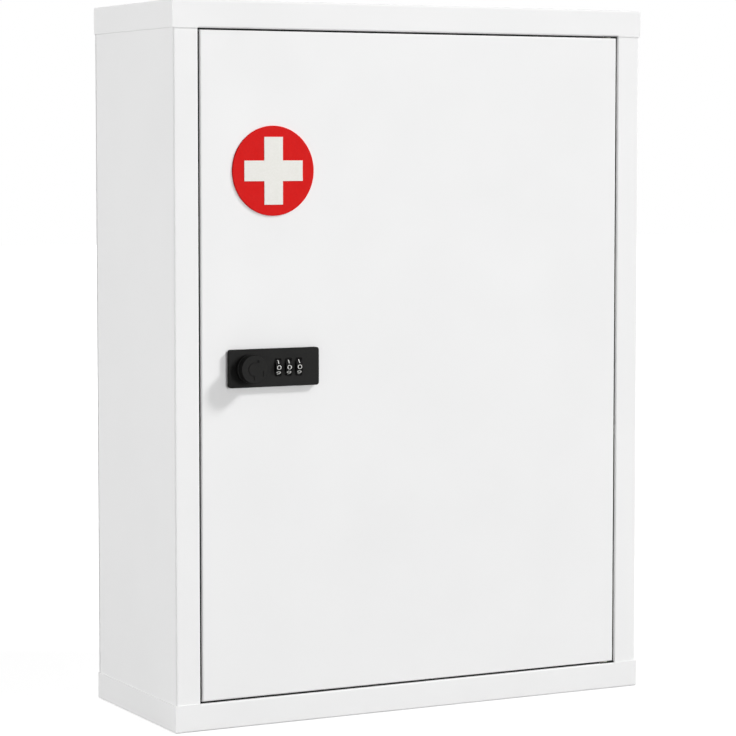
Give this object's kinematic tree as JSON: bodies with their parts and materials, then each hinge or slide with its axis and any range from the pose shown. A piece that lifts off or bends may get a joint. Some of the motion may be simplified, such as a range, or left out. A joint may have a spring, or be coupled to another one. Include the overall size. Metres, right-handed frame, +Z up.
{
  "type": "medicine cabinet",
  "caption": "Wall-mounted steel medicine cabinet with a flush hinged door, two shelves, a round first-aid emblem and a three-wheel combination cam lock with a turning knob.",
  "frame": {"origin": "middle of the underside, on the face that the cabinet can stand on", "axes": "+X to the right and +Z up as seen from the front, +Y from the door to the back"},
  "size_m": [0.341, 0.1415, 0.457],
  "materials": {
    "white_powder_coat": "satin",
    "zinc_plated_steel": "bright zinc",
    "black_die_cast_zinc": "fine matt",
    "black_plastic": "moulded",
    "natural_nylon": "moulded",
    "black_rubber": "matt",
    "red_plastic": "satin",
    "white_print": "satin"
  },
  "bodies": {
    "cabinet": {"bottom_cap": "white_powder_coat", "top_cap": "white_powder_coat", "left_side": "white_powder_coat", "right_side": "white_powder_coat", "left_stop": "white_powder_coat", "back_panel": "white_powder_coat", "lower_shelf": "white_powder_coat", "upper_shelf": "white_powder_coat", "lower_left_ledge": "white_powder_coat", "lower_right_ledge": "white_powder_coat", "upper_left_ledge": "white_powder_coat", "upper_right_ledge": "white_powder_coat", "lower_hinge_pin": "zinc_plated_steel", "upper_hinge_pin": "zinc_plated_steel", "door_bumpers": "black_rubber"},
    "door": {"door_panel": "white_powder_coat", "door_stiffener": "white_powder_coat", "lower_hinge_bracket": "zinc_plated_steel", "upper_hinge_bracket": "zinc_plated_steel", "lower_hinge_bush": "natural_nylon", "upper_hinge_bush": "natural_nylon", "emblem_disc": "red_plastic", "emblem_cross": "white_print", "lock_body": "black_die_cast_zinc", "lock_clamp": "zinc_plated_steel", "clamp_screws": "zinc_plated_steel", "dial_axle": "zinc_plated_steel", "detent_spring": "zinc_plated_steel", "locking_bar": "zinc_plated_steel"},
    "dial_left": {"dial_wheel_left": "black_plastic", "code_disc_left": "zinc_plated_steel"},
    "dial_middle": {"dial_wheel_middle": "black_plastic", "code_disc_middle": "zinc_plated_steel"},
    "dial_right": {"dial_wheel_right": "black_plastic", "code_disc_right": "zinc_plated_steel"},
    "lock_knob": {"knob": "black_die_cast_zinc", "knob_spindle": "zinc_plated_steel", "cam": "zinc_plated_steel", "cam_washer": "zinc_plated_steel", "cam_nut": "zinc_plated_steel"}
  },
  "joints": [
    {"name": "door_hinge", "type": "hinge", "parent": "cabinet", "child": "door", "pos_m": [0.14599, -0.0599, 0.0174], "axis": [0, 0, 1], "range_deg": [0, 110]},
    {"name": "knob_turn", "type": "hinge", "parent": "door", "child": "lock_knob", "pos_m": [-0.12109, -0.0674, 0.2276], "axis": [0, 1, 0], "range_deg": [0, 90]},
    {"name": "dial_left_turn", "type": "hinge", "parent": "door", "child": "dial_left", "pos_m": [-0.10059, -0.0632, 0.2276], "axis": [1, 0, 0], "continuous": true},
    {"name": "dial_middle_turn", "type": "hinge", "parent": "door", "child": "dial_middle", "pos_m": [-0.09334, -0.0632, 0.2276], "axis": [1, 0, 0], "continuous": true},
    {"name": "dial_right_turn", "type": "hinge", "parent": "door", "child": "dial_right", "pos_m": [-0.08609, -0.0632, 0.2276], "axis": [1, 0, 0], "continuous": true}
  ]
}
